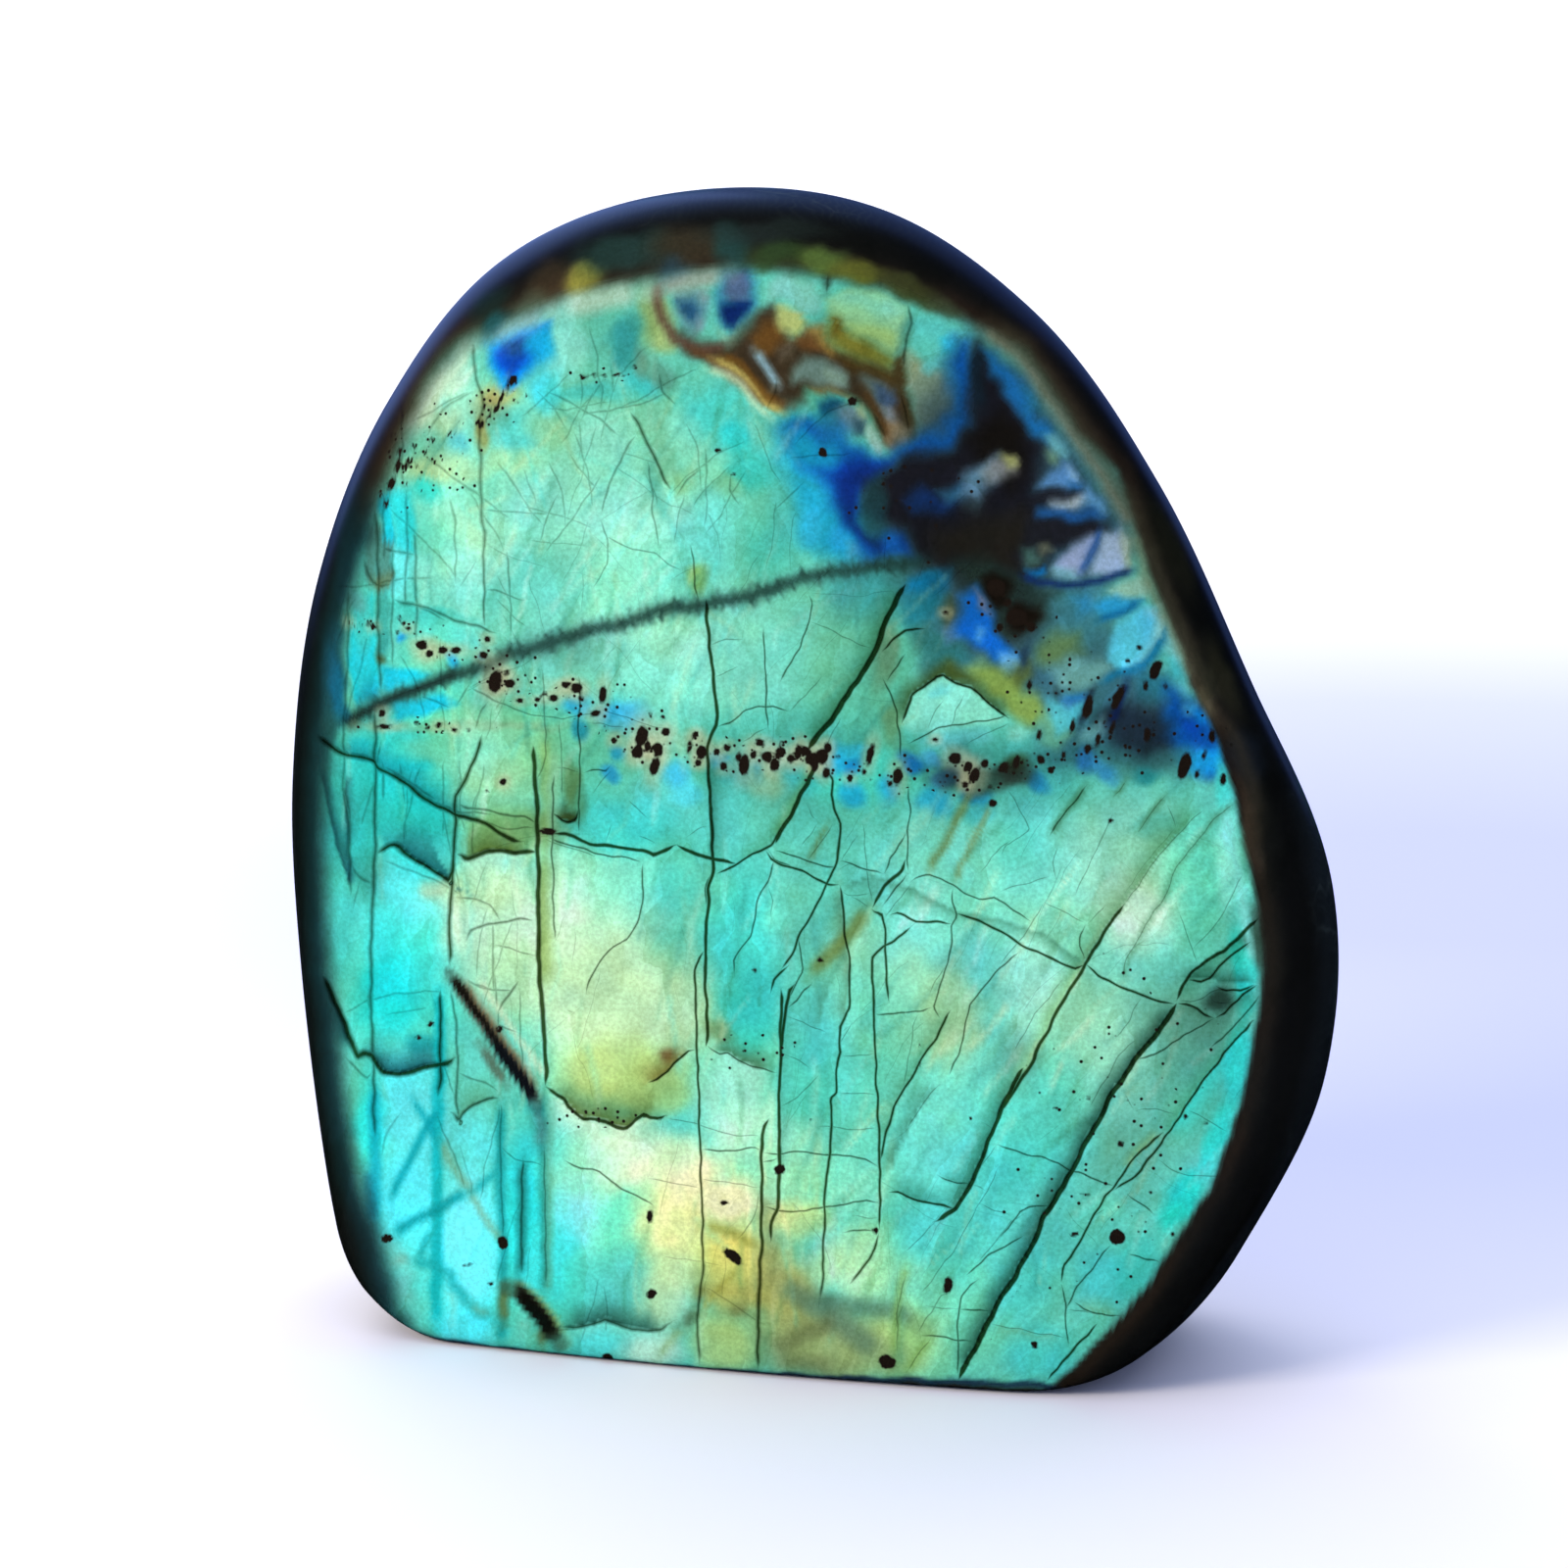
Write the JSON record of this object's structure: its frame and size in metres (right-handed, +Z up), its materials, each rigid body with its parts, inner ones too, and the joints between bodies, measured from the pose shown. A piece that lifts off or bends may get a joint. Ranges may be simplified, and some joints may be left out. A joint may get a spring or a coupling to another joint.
{
  "type": "polished labradorite freeform",
  "caption": "Polished labradorite freeform that stands on its sawn foot, with a broad domed face that flashes blue-green, a dark rounded rim and a ground back.",
  "frame": {"origin": "on the sawn foot that the stone stands on, below its middle", "axes": "+Z up along the height of the stone, +Y from the show face through the thickness to the back, +X across the show face, to the right when it is looked at"},
  "size_m": [0.0903, 0.0322, 0.098],
  "materials": {
    "polished_labradorite": "polished"
  },
  "bodies": {
    "root": {"labradorite": "polished_labradorite"}
  },
  "joints": []
}
